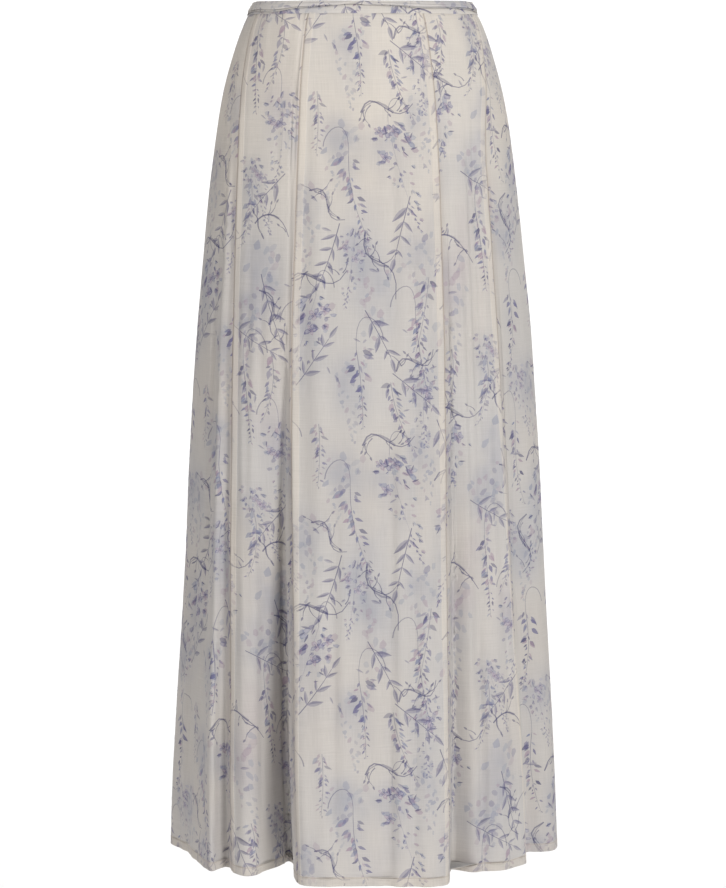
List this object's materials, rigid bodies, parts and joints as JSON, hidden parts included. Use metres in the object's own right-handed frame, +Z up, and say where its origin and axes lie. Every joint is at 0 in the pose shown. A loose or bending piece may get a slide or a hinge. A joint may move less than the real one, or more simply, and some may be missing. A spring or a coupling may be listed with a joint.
{
  "type": "wrap skirt",
  "caption": "Long gored wrap skirt in thin printed cloth, shown as worn with nobody in it: narrow waistband, a tie wound over it and knotted behind, flared folds and an open hem.",
  "frame": {"origin": "middle of the waist opening, half way down the waistband, where the wearer holds the skirt up", "axes": "+Z up, -Y toward the pictured side, +X to the right in the picture"},
  "size_m": [0.4593, 0.3552, 0.984],
  "materials": {
    "printed_voile": "thin matt cotton voile, cream with violet-blue and mauve hanging blossom",
    "waistband_cloth": "the same voile folded double, matt",
    "tie_cloth": "the same voile folded double, matt"
  },
  "bodies": {
    "root": {"gore_front_centre": "printed_voile", "gore_front_right": "printed_voile", "gore_side_right": "printed_voile", "gore_back_right": "printed_voile", "gore_wrap_over": "printed_voile", "gore_wrap_under": "printed_voile", "gore_side_left": "printed_voile", "gore_front_left": "printed_voile", "waistband": "waistband_cloth", "tie_strap": "tie_cloth", "tie_knot": "tie_cloth", "tie_end_long": "tie_cloth", "tie_end_short": "tie_cloth"}
  },
  "joints": []
}
